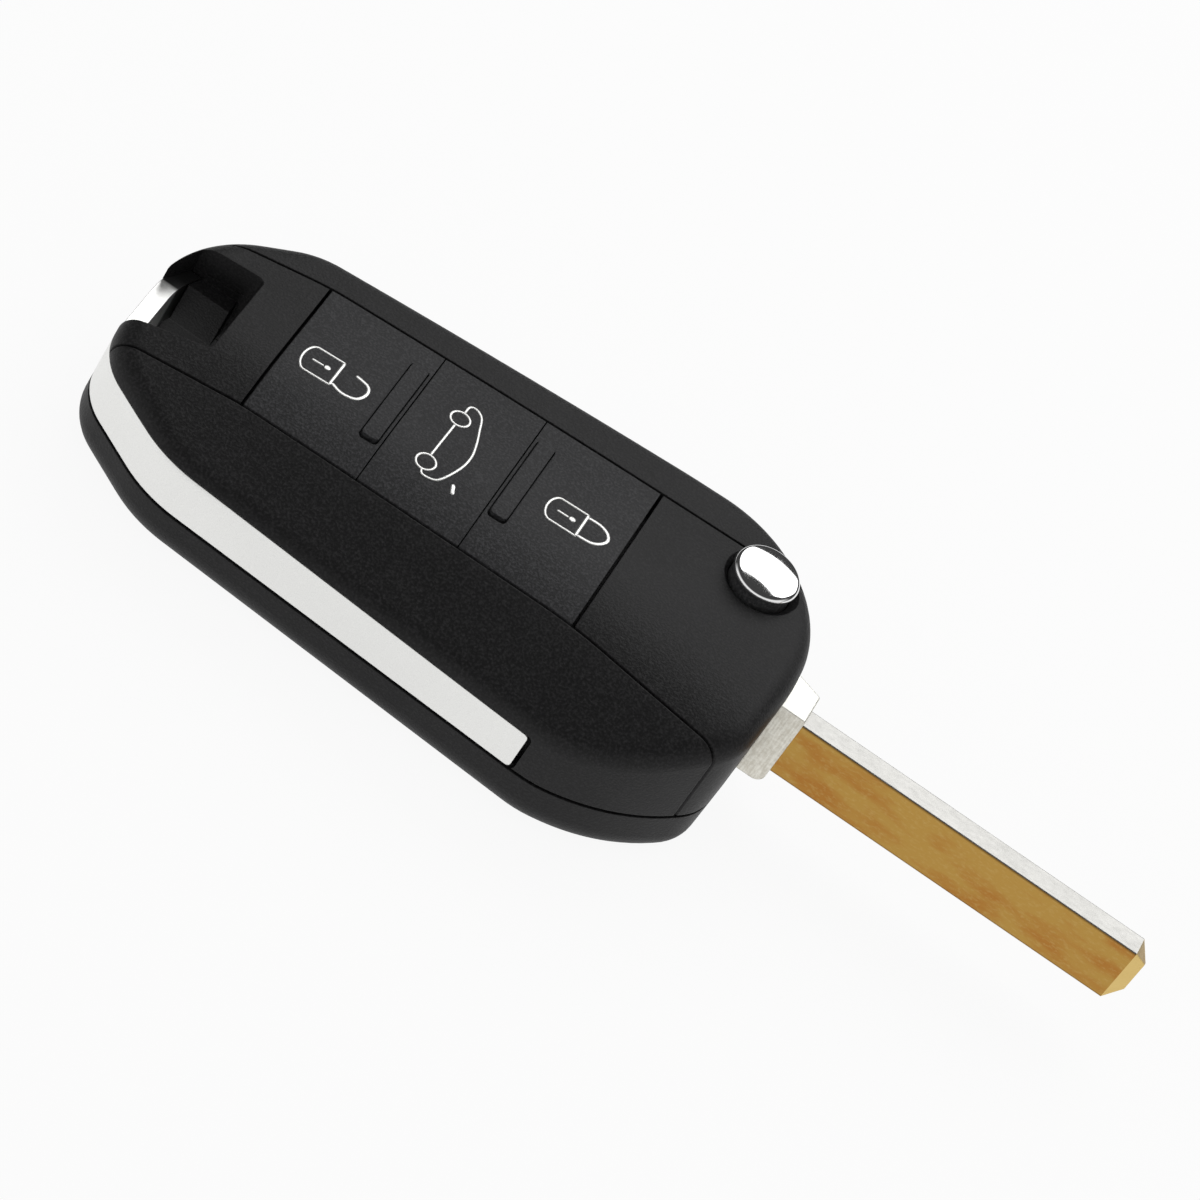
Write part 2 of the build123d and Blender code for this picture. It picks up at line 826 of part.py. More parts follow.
with BuildPart() as blade:
    with BuildSketch(Plane.YZ.offset(head_x - blade_tang)):
        with Locations((blade_y, blade_z)):
            RectangleRounded(blade_thickness, blade_height, blade_edge)
    extrude(amount=blade_tang + blade_length - blade_tip)
    with BuildSketch(Plane.YZ.offset(tip_x - blade_tip)):
        with Locations((blade_y, blade_z)):
            RectangleRounded(blade_thickness, blade_height, blade_edge)
    with BuildSketch(Plane.YZ.offset(tip_x)):
        with Locations((blade_y, blade_z)):
            RectangleRounded(tip_flat, tip_ridge, blade_edge)
    loft()
    add(pin_bar(head_front_y - beyond, head_shoulder_y + beyond), mode=Mode.SUBTRACT)
blade.part.label = "blade"

with BuildPart() as blade_pin:
    add(pin_bar(head_front_y, head_shoulder_y))
blade_pin.part.label = "blade_pin"

with BuildPart() as torsion_spring:
    add(coil(torsion_radius, torsion_pitch, torsion_height, torsion_wire,
             head_bottom + hub_floor + torsion_wire + spring_seat))
torsion_spring.part.label = "torsion_spring"

with BuildPart() as return_spring:
    add(coil(return_radius, return_pitch,
             flange_bottom - shaft_top - 2 * (return_wire + spring_seat), return_wire,
             shaft_top + return_wire + spring_seat))
return_spring.part.label = "return_spring"

with BuildPart() as pivot_shaft:
    add(cylinder(shaft_radius, floor_thickness, shaft_top, pivot))
    chamfer(pivot_shaft.faces().sort_by(Axis.Z)[-1].edges(), length=shaft_edge)
pivot_shaft.part.label = "pivot_shaft"

with BuildPart() as retaining_washer:
    add(cylinder(washer_radius, washer_bottom, washer_bottom + washer_thickness, pivot))
    add(cylinder(shaft_radius, 0, above, pivot), mode=Mode.SUBTRACT)
retaining_washer.part.label = "retaining_washer"

with BuildPart() as case_screws:
    for point in screw_points:
        add(cylinder(screw_head_radius, 0, screw_head_height, point))
        add(cylinder(screw_radius, 0, screw_length, point))
case_screws.part.label = "case_screws"

with BuildPart() as base_contact:
    foot = floor_thickness - cell_depth
    low_x = cell_centre[0] - contact_length
    bend_x = cell_centre[0]
    finger_x = cell_centre[0] + contact_length / 2
    with BuildSketch(Plane.XZ.offset(-cell_y + contact_width / 2)):
        with BuildLine():
            Polyline(
                (low_x, foot),
                (bend_x, foot),
                (finger_x, floor_thickness + contact_rise),
                (finger_x, floor_thickness + contact_rise + contact_thickness),
                (bend_x - contact_thickness / 2, foot + contact_thickness),
                (low_x, foot + contact_thickness),
                close=True,
            )
        make_face()
    extrude(amount=-contact_width)
base_contact.part.label = "base_contact"

with BuildPart() as side_contact:
    contact_x = cell_centre[0] - cell_radius - contact_width / 2
    with BuildSketch(Plane.XY.offset(floor_thickness)):
        with Locations((contact_x, cell_y)):
            Rectangle(contact_width, contact_length)
        with Locations((contact_x + contact_thickness, cell_y)):
            Rectangle(contact_width, contact_length - 2 * contact_thickness,
                      mode=Mode.SUBTRACT)
    extrude(amount=contact_width)
side_contact.part.label = "side_contact"

pieces = [upper_case, lower_case, top_cover, button_pad, side_trim, release_button,
          release_plunger, lock_cam, flip_head, blade, blade_pin, torsion_spring, return_spring,
          pivot_shaft, retaining_washer, case_screws, base_contact, side_contact]
os.makedirs("parts", exist_ok=True)
for part in [piece.part for piece in pieces] + keys:
    export_step(part, f"parts/{part.label}.step")
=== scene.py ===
import json
import math

import bpy
import numpy as np
from mathutils import Matrix, Vector


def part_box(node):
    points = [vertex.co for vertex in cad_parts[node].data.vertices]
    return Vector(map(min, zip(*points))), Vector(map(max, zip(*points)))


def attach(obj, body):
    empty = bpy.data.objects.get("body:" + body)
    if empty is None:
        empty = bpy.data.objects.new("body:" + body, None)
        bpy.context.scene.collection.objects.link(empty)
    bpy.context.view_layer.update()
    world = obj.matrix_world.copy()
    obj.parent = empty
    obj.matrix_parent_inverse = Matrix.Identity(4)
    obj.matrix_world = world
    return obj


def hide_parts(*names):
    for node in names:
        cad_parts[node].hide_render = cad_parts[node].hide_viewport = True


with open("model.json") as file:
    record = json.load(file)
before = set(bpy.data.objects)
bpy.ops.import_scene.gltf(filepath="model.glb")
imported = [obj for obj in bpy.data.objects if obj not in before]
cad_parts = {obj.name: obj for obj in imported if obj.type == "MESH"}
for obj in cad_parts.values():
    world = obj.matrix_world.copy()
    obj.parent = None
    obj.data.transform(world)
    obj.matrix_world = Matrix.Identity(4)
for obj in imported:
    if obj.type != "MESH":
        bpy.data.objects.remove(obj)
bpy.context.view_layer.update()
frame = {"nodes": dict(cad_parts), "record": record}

mm = 0.001
perMm = 1000.0
cadNodes = frame["nodes"]


print("frame loaded:", len(cadNodes), "nodes")


# one socket of a node tree: an expression on wires and numbers adds its Math nodes
class Wire:
    def __init__(self, tree, socket):
        self.tree = tree
        self.socket = socket

    def math(self, operation, *values):
        node = self.tree.nodes.new("ShaderNodeMath")
        node.operation = operation
        for slot, value in zip(node.inputs, values):
            connect(self.tree, value, slot)
        return Wire(self.tree, node.outputs[0])

    def __add__(self, other):
        return self.math("ADD", self, other)

    def __radd__(self, other):
        return self.math("ADD", other, self)

    def __sub__(self, other):
        return self.math("SUBTRACT", self, other)

    def __rsub__(self, other):
        return self.math("SUBTRACT", other, self)

    def __mul__(self, other):
        return self.math("MULTIPLY", self, other)

    def __abs__(self):
        return self.math("ABSOLUTE", self)

    def most(self, other):
        return self.math("MAXIMUM", self, other)

    def least(self, other):
        return self.math("MINIMUM", self, other)

    def wave(self):
        return self.math("SINE", self)

    # an even slope from 0 at one value to 1 at another
    def rise(self, zeroAt, oneAt):
        sloped = (self - zeroAt) * (1 / (oneAt - zeroAt))
        return sloped.most(0.0).least(1.0)


# a wire is linked to the socket, and a plain value is written on it
def connect(tree, value, slot):
    if isinstance(value, Wire):
        tree.links.new(value.socket, slot)
    else:
        slot.default_value = value


class Finish:
    def __init__(self, name):
        self.material = bpy.data.materials.new(name)
        self.material.use_nodes = True
        self.tree = self.material.node_tree
        self.tree.nodes.clear()
        self.place = self.node("ShaderNodeTexCoord", output="Object")

    # any node: type, settings set first, then values or wires for its sockets
    def node(self, kind, settings=None, inputs=None, output=0):
        node = self.tree.nodes.new(kind)
        for key, value in (settings or {}).items():
            setattr(node, key, value)
        for key, value in (inputs or {}).items():
            connect(self.tree, value, node.inputs[key])
        return Wire(self.tree, node.outputs[output])

    # x, y and z of a vector wire
    def parts(self, vector):
        split = self.tree.nodes.new("ShaderNodeSeparateXYZ")
        connect(self.tree, vector, split.inputs[0])
        return [Wire(self.tree, socket) for socket in split.outputs]

    # the place on the object in millimetres
    def millimetres(self):
        scaling = {"operation": "SCALE"}
        return self.parts(self.node("ShaderNodeVectorMath", scaling, {0: self.place, "Scale": perMm}))

    def faceNormal(self):
        return self.parts(self.node("ShaderNodeNewGeometry", output="Normal"))

    # noise whose lumps are about grain millimetres, stretched by three factors
    def noise(self, grain, detail=2.0, roughness=0.5, stretch=(1.0, 1.0, 1.0)):
        scale = [perMm / grain / factor for factor in stretch]
        vector = self.node("ShaderNodeVectorMath", {"operation": "MULTIPLY"}, {0: self.place, 1: scale})
        sockets = {"Vector": vector, "Scale": 1.0, "Detail": detail, "Roughness": roughness}
        return self.node("ShaderNodeTexNoise", inputs=sockets)

    def blend(self, factor, first, second):
        sockets = {0: factor, 6: opaque(first), 7: opaque(second)}
        return self.node("ShaderNodeMix", {"data_type": "RGBA"}, sockets, 2)

    # the face's direction, turned softly over its sharp edges within a radius in millimetres
    def softEdge(self, radius):
        return self.node("ShaderNodeBevel", {"samples": 6}, {"Radius": radius * mm})

    # a normal tilted by a height of 0 to 1 that stands for a depth in millimetres
    def bump(self, height, depth, below=None):
        sockets = {"Height": height, "Distance": depth * mm, "Strength": 1.0}
        if below is not None:
            sockets["Normal"] = below
        return self.node("ShaderNodeBump", inputs=sockets)

    # the shader: three sockets by name, and any others as fixed values or wires
    def finish(self, colour, roughness, normal, **others):
        sockets = {"Base Color": opaque(colour), "Roughness": roughness, "Normal": normal}
        for key, value in others.items():
            sockets[key.replace("_", " ")] = value
        self.out(self.node("ShaderNodeBsdfPrincipled", inputs=sockets))
        return self.material

    def out(self, shader):
        output = self.tree.nodes.new("ShaderNodeOutputMaterial")
        self.tree.links.new(shader.socket, output.inputs[0])


def opaque(colour):
    if isinstance(colour, Wire):
        return colour
    return (*colour, 1.0)


def shaded(colour, factor):
    return [channel * factor for channel in colour]


# a value that wavers about its middle: middle plus the sum of (noise - 0.5) times its share
def wavering(middle, *shares):
    return sum(((noise - 0.5) * share for noise, share in shares), middle)


plastic = {
    "case": {"colour": (0.0098, 0.0096, 0.0100), "roughness": 0.50, "depth": 0.060},
    "key": {"colour": (0.0205, 0.0205, 0.0217), "roughness": 0.54, "depth": 0.060},
    # the plunger's colour is raised well above the case's black: painted light, standing in for the
    # reflections and light that its glossy wall, sunk in its dish, does not catch
    "plunger": {"colour": (0.0360, 0.0360, 0.0370), "roughness": 0.36, "depth": 0.004},
    "grain": 0.27,
    "grainGloss": 0.28,
    "topsRange": (0.45, 0.75),
    "topsGain": 2.6,
    "topsLift": 0.004,
    "patch": 7.0,
    "patchGloss": 0.10,
    "specular": 0.22,
    "edge": 0.14,
}


# moulded plastic: fine eroded grain in the bump, broad uneven gloss, slightly paler on the grain's tops
def mouldedPlastic(name, kind):
    look = Finish(name)
    grain = look.noise(plastic["grain"], detail=3.0, roughness=0.6)
    patch = look.noise(plastic["patch"])
    tops = [channel * plastic["topsGain"] + plastic["topsLift"] for channel in kind["colour"]]
    tone = look.blend(grain.rise(*plastic["topsRange"]), kind["colour"], tops)
    gloss = wavering(kind["roughness"], (patch, plastic["patchGloss"]), (grain, plastic["grainGloss"]))
    normal = look.bump(grain, kind["depth"], look.softEdge(plastic["edge"]))
    return look.finish(tone, gloss, normal, Specular_IOR_Level=plastic["specular"])


trim = {
    "colour": (0.93, 0.93, 0.91),
    "darker": 0.90,
    "flake": 0.09,
    "flakeRange": (0.3, 0.7),
    "flakeGloss": 0.05,
    "flakeDepth": 0.0012,
    "patch": 5.0,
    "patchGloss": 0.08,
    "roughness": 0.34,
    "metallic": 0.85,
    "edge": 0.12,
    # painted shade: the black laid on the bar's root under the case's lobe, and the ranges across and
    # within the bar where it lies
    "rootShade": (0.012, 0.012, 0.012),
    "rootShadeAcross": (5.0, 5.6),
    "rootShadeWithin": (4.0, 5.0),
}


# silver paint over black plastic: bright flake of slightly varied tone; at the root of the bar, which is
# where y lies past the first range and x within the second of the bar's outer face, it turns black and not
# metallic: painted shade where the bar runs under the case's lobe
def silverPaint(name):
    look = Finish(name)
    x, y = look.millimetres()[:2]
    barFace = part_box("side_trim")[0].x * perMm
    flake = look.noise(trim["flake"], detail=1.0)
    patch = look.noise(trim["patch"])
    between = shaded(trim["colour"], trim["darker"])
    tone = look.blend(flake.rise(*trim["flakeRange"]), between, trim["colour"])
    # painted shade: the bar's root under the case's lobe is turned black and loses its metal
    root = y.rise(*trim["rootShadeAcross"]) * (1 - (x - barFace).rise(*trim["rootShadeWithin"]))
    tone = look.blend(root, tone, trim["rootShade"])
    gloss = wavering(trim["roughness"], (patch, trim["patchGloss"]), (flake, trim["flakeGloss"]))
    normal = look.bump(flake, trim["flakeDepth"], look.softEdge(trim["edge"]))
    return look.finish(tone, gloss, normal, Metallic=(1 - root) * trim["metallic"])


chrome = {
    "colour": (0.90, 0.90, 0.90),
    "darker": 0.95,
    "roughness": 0.07,
    "smear": 1.6,
    "smearLength": 3.0,
    "toneRange": (0.4, 0.7),
    "glossRange": (0.45, 0.8),
    "smearGloss": 0.06,
    "fine": 0.15,
    "fineDepth": 0.0004,
}


# polished chrome with faint wiping marks
def polishedChrome(name):
    look = Finish(name)
    smear = look.noise(chrome["smear"], detail=3.0, stretch=(1.0, chrome["smearLength"], 1.0))
    fine = look.noise(chrome["fine"], detail=1.0)
    dull = shaded(chrome["colour"], chrome["darker"])
    tone = look.blend(smear.rise(*chrome["toneRange"]), chrome["colour"], dull)
    gloss = chrome["roughness"] + smear.rise(*chrome["glossRange"]) * chrome["smearGloss"]
    return look.finish(tone, gloss, look.bump(fine, chrome["fineDepth"]), Metallic=1.0)


casting = {
    "colour": (0.89, 0.87, 0.79),
    "dark": (0.64, 0.61, 0.53),
    "shadeRange": (0.40, 0.62),
    "flatFacing": (0.5, 0.8),
    "flatGain": 1.10,
    "flatBrightest": 0.92,
    "flatShare": 0.85,
    "mottle": 0.5,
    "mottleShare": 0.6,
    "mottleGloss": 0.3,
    "streak": 0.22,
    "streakLength": 9.0,
    "sway": 1.5,
    "swayReach": 0.5,
    "millPitch": 0.34,
    "millDepth": 0.008,
    "roughness": 0.42,
    "metallic": 0.9,
    "edge": 0.22,
}


# cast alloy, lightly milled: over a mottled skin its sides have upright cutter lines, a sine of the place
# along x + y over the pitch, and its level faces are plain and brighter
def castAlloy(name):
    look = Finish(name)
    x, y = look.millimetres()[:2]
    sway = look.noise(casting["sway"]) * casting["swayReach"]
    lines = ((x + y + sway) * (2 * math.pi / casting["millPitch"])).wave() * 0.5 + 0.5
    mottle = look.noise(casting["mottle"], detail=4.0, roughness=0.65)
    streak = look.noise(casting["streak"], stretch=(1.0, 1.0, casting["streakLength"]))
    flat = abs(look.faceNormal()[2]).rise(*casting["flatFacing"])
    mottled = mottle * casting["mottleShare"]
    height = mottled + (lines * 0.5 + streak * 0.5) * (1 - flat)
    shade = (mottled + streak * (1 - casting["mottleShare"])).rise(*casting["shadeRange"])
    tone = look.blend(shade, casting["dark"], casting["colour"])
    raised = shaded(casting["colour"], casting["flatGain"])
    bright = [min(casting["flatBrightest"], channel) for channel in raised]
    tone = look.blend(flat * casting["flatShare"], tone, bright)
    gloss = wavering(casting["roughness"], (mottle, casting["mottleGloss"]))
    normal = look.bump(height, casting["millDepth"], look.softEdge(casting["edge"]))
    return look.finish(tone, gloss, normal, Metallic=casting["metallic"])


brass = {
    "side": (0.47, 0.275, 0.062),
    "warm": (0.43, 0.19, 0.035),
    "pale": (0.56, 0.37, 0.12),
    "rim": (0.16, 0.085, 0.02),
    # painted reflection: the pale neutral grey of the level faces and its darker rim, so the lit top face
    # shines white
    "paintedShine": (0.50, 0.495, 0.475),
    "paintedShineRim": (0.42, 0.41, 0.38),
    "tip": (0.72, 0.52, 0.18),
    "patch": 3.2,
    "warmRange": (0.45, 0.68),
    "patchGloss": 0.15,
    "fine": 0.35,
    "paleRange": (0.5, 0.75),
    "paleShare": 0.6,
    "fineGloss": 0.25,
    "rimWidth": (0.05, 0.35),
    "paintedShineRimWidth": (0.03, 0.16),
    "paintedShineFacing": (0.55, 0.8),
    "tipFacing": (0.3, 0.6),
    "scratch": 0.12,
    "scratchLength": 14.0,
    "fineShare": 0.6,
    "depth": 0.006,
    "roughness": 0.36,
    "metallic": 0.9,
}


# uncut blank: brown-gold sides with warmer patches and a dark rim, and a bright tip; its level faces above
# and below are painted a pale neutral grey with a rim of their own, a painted reflection that makes the lit
# top face shine white, not gold
def blankBrass(name):
    look = Finish(name)
    y, z = look.millimetres()[1:]
    low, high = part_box("blade")
    patch = look.noise(brass["patch"], detail=3.0, stretch=(2.0, 1.0, 0.7))
    fine = look.noise(brass["fine"], detail=3.0, roughness=0.6, stretch=(2.0, 1.0, 1.0))
    scratch = look.noise(brass["scratch"], stretch=(brass["scratchLength"], 1.0, 1.0))
    tone = look.blend(patch.rise(*brass["warmRange"]), brass["side"], brass["warm"])
    tone = look.blend(fine.rise(*brass["paleRange"]) * brass["paleShare"], tone, brass["pale"])
    fromRim = (z - low.z * perMm).least(high.z * perMm - z)
    tone = look.blend(1 - fromRim.rise(*brass["rimWidth"]), tone, brass["rim"])
    fromSide = (y - low.y * perMm).least(high.y * perMm - y)
    # painted reflection: the level faces take a pale neutral grey in place of the brass
    paintedShine = look.blend(1 - fromSide.rise(*brass["paintedShineRimWidth"]), brass["paintedShine"], brass["paintedShineRim"])
    level = abs(look.faceNormal()[2]).rise(*brass["paintedShineFacing"])
    tone = look.blend(level, tone, paintedShine)
    endOn = look.faceNormal()[0].rise(*brass["tipFacing"])
    tone = look.blend(endOn * (1 - level), tone, brass["tip"])
    gloss = wavering(brass["roughness"], (fine, brass["fineGloss"]), (patch, brass["patchGloss"]))
    height = fine * brass["fineShare"] + scratch * (1 - brass["fineShare"])
    return look.finish(tone, gloss, look.bump(height, brass["depth"]), Metallic=brass["metallic"])


metal = {
    "spring": {"colour": (0.50, 0.50, 0.50), "roughness": 0.28},
    "contact": {"colour": (0.62, 0.60, 0.56), "roughness": 0.24},
    "darker": 0.72,
    "shadeRange": (0.38, 0.6),
    "drawn": 0.2,
    "drawnLength": 4.0,
    "drawnDepth": 0.003,
    "patch": 2.5,
    "patchGloss": 0.15,
}


# metal of springs, screws, pins and contacts, drawn lengthwise
def drawnMetal(name, kind):
    look = Finish(name)
    drawn = look.noise(metal["drawn"], stretch=(1.0, 1.0, metal["drawnLength"]))
    patch = look.noise(metal["patch"])
    shade = (drawn * 0.5 + patch * 0.5).rise(*metal["shadeRange"])
    tone = look.blend(shade, shaded(kind["colour"], metal["darker"]), kind["colour"])
    gloss = wavering(kind["roughness"], (patch, metal["patchGloss"]))
    return look.finish(tone, gloss, look.bump(drawn, metal["drawnDepth"]), Metallic=1.0)


rubber = {
    "dark": (0.018, 0.018, 0.018),
    "pale": (0.032, 0.032, 0.032),
    "paleRange": (0.4, 0.7),
    "grain": 0.3,
    "grainDepth": 0.01,
    "grainGloss": 0.2,
    "roughness": 0.72,
    "specular": 0.3,
}


# black rubber of the pad under the keys, dull and finely grained
def softRubber(name):
    look = Finish(name)
    grain = look.noise(rubber["grain"], detail=3.0)
    tone = look.blend(grain.rise(*rubber["paleRange"]), rubber["dark"], rubber["pale"])
    gloss = wavering(rubber["roughness"], (grain, rubber["grainGloss"]))
    normal = look.bump(grain, rubber["grainDepth"])
    return look.finish(tone, gloss, normal, Specular_IOR_Level=rubber["specular"])


finishes = {
    "case_plastic": mouldedPlastic("casePlastic", plastic["case"]),
    "key_plastic": mouldedPlastic("keyPlastic", plastic["key"]),
    "plunger_plastic": mouldedPlastic("plungerPlastic", plastic["plunger"]),
    "pad_rubber": softRubber("padRubber"),
    "trim_silver": silverPaint("trimSilver"),
    "bright_chrome": polishedChrome("brightChrome"),
    "cast_metal": castAlloy("castMetal"),
    "blade_brass": blankBrass("bladeBrass"),
    "spring_steel": drawnMetal("springSteel", metal["spring"]),
    "contact_metal": drawnMetal("contactMetal", metal["contact"]),
}
print("finishes made:", len(finishes))


# each carried-over node wears the finish of its material slot
def dressNodes():
    for subpart in frame["record"]["subparts"]:
        holder = cadNodes[subpart["node"]].material_slots[0]
        holder.link = "OBJECT"
        holder.material = finishes[subpart["material_slot"]]


dressNodes()


# a mesh object from an array of corners and a list of face arrays, smooth shaded, at the origin
def meshPiece(name, corners, faces, finish):
    mesh = bpy.data.meshes.new(name)
    mesh.from_pydata((corners * mm).tolist(), [], [face for array in faces for face in array.tolist()])
    mesh.validate()
    mesh.shade_smooth()
    mesh.materials.append(finish)
    piece = bpy.data.objects.new(name, mesh)
    bpy.context.scene.collection.objects.link(piece)
    return piece


# several surfaces as one: their corners in a row, and their faces counted on from the corners before
def joined(surfaces):
    corners, faces, count = [], [], 0
    for ownCorners, ownFaces in surfaces:
        corners.append(ownCorners)
        faces += [array + count for array in ownFaces]
        count += len(ownCorners)
    return np.vstack(corners), faces


# four-sided faces between the rows of a grid whose columns close into a ring, and whose rows may do so too
def gridFaces(rows, columns, closed=False):
    row = np.arange(rows if closed else rows - 1)[:, None]
    column = np.arange(columns)[None, :]
    rowAfter = (row + 1) % rows
    columnAfter = (column + 1) % columns
    places = [(row, column), (row, columnAfter), (rowAfter, columnAfter), (rowAfter, column)]
    return np.stack([r * columns + c for r, c in places], axis=2).reshape(-1, 4)


# a skin over a grid of points: the columns close into a ring, and both ends close to a pole
def closedGrid(grid):
    rows, columns = grid.shape[:2]
    corners = np.vstack([grid.reshape(-1, 3), grid[0].mean(axis=0), grid[-1].mean(axis=0)])
    firstPole = np.full(columns, rows * columns)
    ring = np.arange(columns)
    after = (ring + 1) % columns
    lastRow = (rows - 1) * columns
    start = np.stack([firstPole, after, ring], axis=1)
    end = np.stack([firstPole + 1, lastRow + ring, lastRow + after], axis=1)
    return corners, [gridFaces(rows, columns), start, end]


# height of the top of a node over plan points: barycentric weights of every point in every upward triangle
def heightOver(nodeName, plan):
    hair = 1e-6
    mesh = cadNodes[nodeName].data
    mesh.calc_loop_triangles()
    places = np.empty(len(mesh.vertices) * 3)
    mesh.vertices.foreach_get("co", places)
    corners = np.empty(len(mesh.loop_triangles) * 3, dtype=int)
    mesh.loop_triangles.foreach_get("vertices", corners)
    triangles = (places.reshape(-1, 3) * perMm)[corners.reshape(-1, 3)]
    a, b, c = triangles[:, 0], triangles[:, 1], triangles[:, 2]
    area = (b[:, 0] - a[:, 0]) * (c[:, 1] - a[:, 1]) - (c[:, 0] - a[:, 0]) * (b[:, 1] - a[:, 1])
    upward = area > hair
    a, b, c, area = a[upward], b[upward], c[upward], area[upward]
    x = plan[:, 0][:, None]
    y = plan[:, 1][:, None]
    v = ((x - a[:, 0]) * (c[:, 1] - a[:, 1]) - (c[:, 0] - a[:, 0]) * (y - a[:, 1])) / area
    w = ((b[:, 0] - a[:, 0]) * (y - a[:, 1]) - (x - a[:, 0]) * (b[:, 1] - a[:, 1])) / area
    inside = (v >= -hair) & (w >= -hair) & (v + w <= 1 + hair)
    height = a[:, 2] + v * (b[:, 2] - a[:, 2]) + w * (c[:, 2] - a[:, 2])
    return np.where(inside, height, -np.inf).max(axis=1)


marks = {
    "line": 0.31,
    "bold": 0.42,
    "thick": 0.52,
    "dot": 0.76,
    "rise": 0.04,
    "spacing": 0.05,
    "fewest": 6,
    "section": 8,
    "curveSteps": 12,
    "circleSteps": 24,
    "endShare": 0.02,
}


# a smooth curve through a few points: each span is a cubic of its four nearest points, whose slope at a
# point is half the step from the point before to the point after
def curveThrough(points):
    points = np.array(points, dtype=float)
    chain = np.vstack([2 * points[0] - points[1], points, 2 * points[-1] - points[-2]])
    p0, p1, p2, p3 = (chain[i:len(chain) - 3 + i][:, None, :] for i in range(4))
    t = np.linspace(0, 1, marks["curveSteps"], endpoint=False)[None, :, None]
    third = 3 * (p1 - p2) + p3 - p0
    cubic = p1 + 0.5 * t * (p2 - p0 + t * (2 * p0 - 5 * p1 + 4 * p2 - p3 + t * third))
    return np.vstack([cubic.reshape(-1, 2), points[-1]])


def lineThrough(points):
    return np.array(points, dtype=float)


# a circle as a closed path: centre + radius (cos, sin)
def circlePath(centre, radius):
    angle = np.linspace(0, 2 * np.pi, marks["circleSteps"], endpoint=False)
    return np.stack([centre[0] + radius * np.cos(angle), centre[1] + radius * np.sin(angle)], axis=1)


# points at even steps along a path, found from its running length
def evenly(path, closed):
    if closed:
        path = np.vstack([path, path[:1]])
    run = np.concatenate([[0], np.cumsum(np.linalg.norm(np.diff(path, axis=0), axis=1))])
    count = max(marks["fewest"], int(run[-1] / marks["spacing"]))
    at = np.linspace(0, run[-1], count, endpoint=not closed)
    return np.stack([np.interp(at, run, path[:, axis]) for axis in (0, 1)], axis=1), at, run[-1]


# a printed line on a key: a flat oval section, (cos, sin) of half the width and the rise, carried along
# the path on the key's top; an open path's ends are round, the root of 1 - (1 - reach) squared
def strokeSurface(nodeName, path, closed, width):
    plan, at, length = evenly(path, closed)
    if closed:
        along = np.roll(plan, -1, axis=0) - np.roll(plan, 1, axis=0)
        fullness = np.ones(len(plan))
    else:
        along = np.gradient(plan, axis=0)
        reach = np.minimum(at, length - at) / (width / 2)
        fullness = np.sqrt(1 - (1 - np.clip(reach, 0, 1)) ** 2).clip(marks["endShare"])
    along = along / np.linalg.norm(along, axis=1)[:, None]
    across = np.stack([-along[:, 1], along[:, 0]], axis=1)
    angle = np.linspace(0, 2 * np.pi, marks["section"], endpoint=False)
    side = np.cos(angle)[None, :] * fullness[:, None] * width / 2
    lift = np.sin(angle)[None, :] * fullness[:, None] * marks["rise"]
    spread = plan[:, None, :] + across[:, None, :] * side[:, :, None]
    base = heightOver(nodeName, plan)[:, None]
    corners = np.concatenate([spread, (base + lift)[:, :, None]], axis=2).reshape(-1, 3)
    return corners, [gridFaces(len(plan), len(angle), closed)]


# several printed lines joined into one mesh that rides on its key
def printedMark(name, nodeName, body, strokes):
    corners, faces = joined([strokeSurface(nodeName, *stroke) for stroke in strokes])
    piece = meshPiece(name, corners, faces, finishes["trim_silver"])
    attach(piece, body)


padlock = {
    "keyholeStart": 2.95,
    "keyholeEnd": 1.55,
    "dotLength": 0.8,
    "shackleGap": 0.12,
    "footDepth": 1.0,
    "footSteps": 17,
}
openPadlock = {
    "top": -39.87,
    "foot": -43.82,
    "middle": 2.32,
    "halfWidth": 2.0,
    "shackle": [(0, -1.6), (1.4, -2.12), (2.9, -1.78), (3.5, -0.4), (3.1, 0.8), (1.5, 1.3)],
}
closedPadlock = {
    "top": -11.23,
    "foot": -15.28,
    "middle": 2.41,
    "halfWidth": 1.85,
    "shackle": [(0, 1.55), (1.45, 1.52), (2.45, 1.0), (2.85, 0.1), (2.45, -0.85), (1.55, -1.5), (0, -1.65)],
}


# a padlock's body in plan: straight at its top, a half ellipse at its foot
def padlockBody(lock):
    middle, halfWidth = lock["middle"], lock["halfWidth"]
    angle = np.linspace(np.pi / 2, 3 * np.pi / 2, padlock["footSteps"])
    footX = lock["foot"] + padlock["footDepth"] * (1 + np.cos(angle))
    foot = np.stack([footX, middle + np.sin(angle) * halfWidth], axis=1)
    return np.vstack([[(lock["top"], middle + halfWidth)], foot, [(lock["top"], middle - halfWidth)]])


# a padlock: its body, a bold bar along the body's top, a keyhole line ending in a dot, and its shackle,
# whose points are given from the middle of the body's top
def padlockStrokes(lock):
    top, middle, halfWidth = lock["top"], lock["middle"], lock["halfWidth"]
    dotStart = top - padlock["keyholeEnd"]
    bar = [(top, middle - halfWidth), (top, middle + halfWidth)]
    keyhole = [(top - padlock["keyholeStart"], middle), (dotStart, middle)]
    dot = [(dotStart, middle), (dotStart + padlock["dotLength"], middle)]
    shackle = [(top + padlock["shackleGap"] + x, middle + y) for x, y in lock["shackle"]]
    return [
        (padlockBody(lock), True, marks["line"]),
        (lineThrough(bar), False, marks["bold"]),
        (lineThrough(keyhole), False, marks["line"]),
        (lineThrough(dot), False, marks["dot"]),
        (curveThrough(shackle), False, marks["bold"]),
    ]


